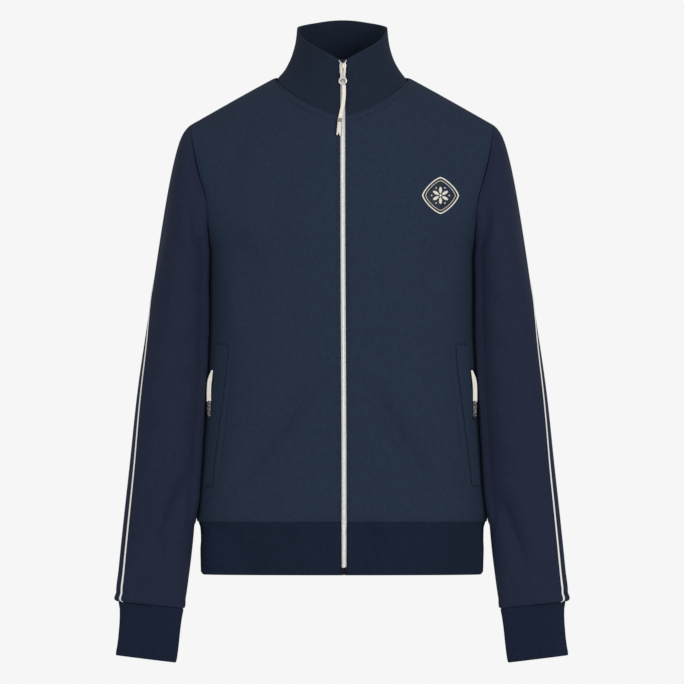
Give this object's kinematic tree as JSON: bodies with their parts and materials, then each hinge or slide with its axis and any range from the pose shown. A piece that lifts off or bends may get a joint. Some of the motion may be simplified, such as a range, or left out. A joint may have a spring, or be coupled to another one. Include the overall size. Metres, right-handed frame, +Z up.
{
  "type": "zip-up sweatshirt",
  "caption": "Zip-up sweatshirt with a stand collar, set-in sleeves with contrast piping, welted side pockets, a ribbed hem and cuffs, shown filled out as when it is worn.",
  "frame": {"origin": "midway between the two points where the shoulder seams meet the neck seam, at the height of the shoulders", "axes": "+Z up, the front faces -Y, and +X is the wearer's left"},
  "size_m": [0.5872, 0.2256, 0.8314],
  "materials": {
    "body_fabric": "matt double-knit jersey",
    "sleeve_fabric": "matt double-knit jersey",
    "rib_fabric": "matt ribbed knit",
    "zip_tape": "woven tape",
    "piping": "smooth bias tape",
    "zip_coil": "satin nylon coil",
    "zip_metal": "plated metal",
    "cord": "soft braided cord",
    "cord_end": "satin moulded end"
  },
  "bodies": {
    "garment": {"back": "body_fabric", "collar": "body_fabric", "cuff_left": "rib_fabric", "cuff_right": "rib_fabric", "front_left": "body_fabric", "front_right": "body_fabric", "hem_rib": "rib_fabric", "piping_left": "piping", "piping_right": "piping", "pocket_cord_left": "cord", "pocket_cord_right": "cord", "pocket_end_left": "cord_end", "pocket_end_right": "cord_end", "pocket_welt_left": "body_fabric", "pocket_welt_right": "body_fabric", "sleeve_back_left": "sleeve_fabric", "sleeve_back_right": "sleeve_fabric", "sleeve_front_left": "sleeve_fabric", "sleeve_front_right": "sleeve_fabric", "zip_box": "zip_metal", "zip_chain": "zip_coil", "zip_slider": "zip_metal", "zip_tape_left": "zip_tape", "zip_tape_right": "zip_tape"},
    "zip_pull": {"zip_pull_tab": "zip_metal", "zip_pull_cord": "cord", "zip_pull_end": "cord_end"}
  },
  "joints": [
    {"name": "zip_pull_hinge", "type": "hinge", "parent": "garment", "child": "zip_pull", "pos_m": [0.001, -0.06932, 0.01375], "axis": [-1, 0, 0], "range_deg": [0, 150]}
  ]
}
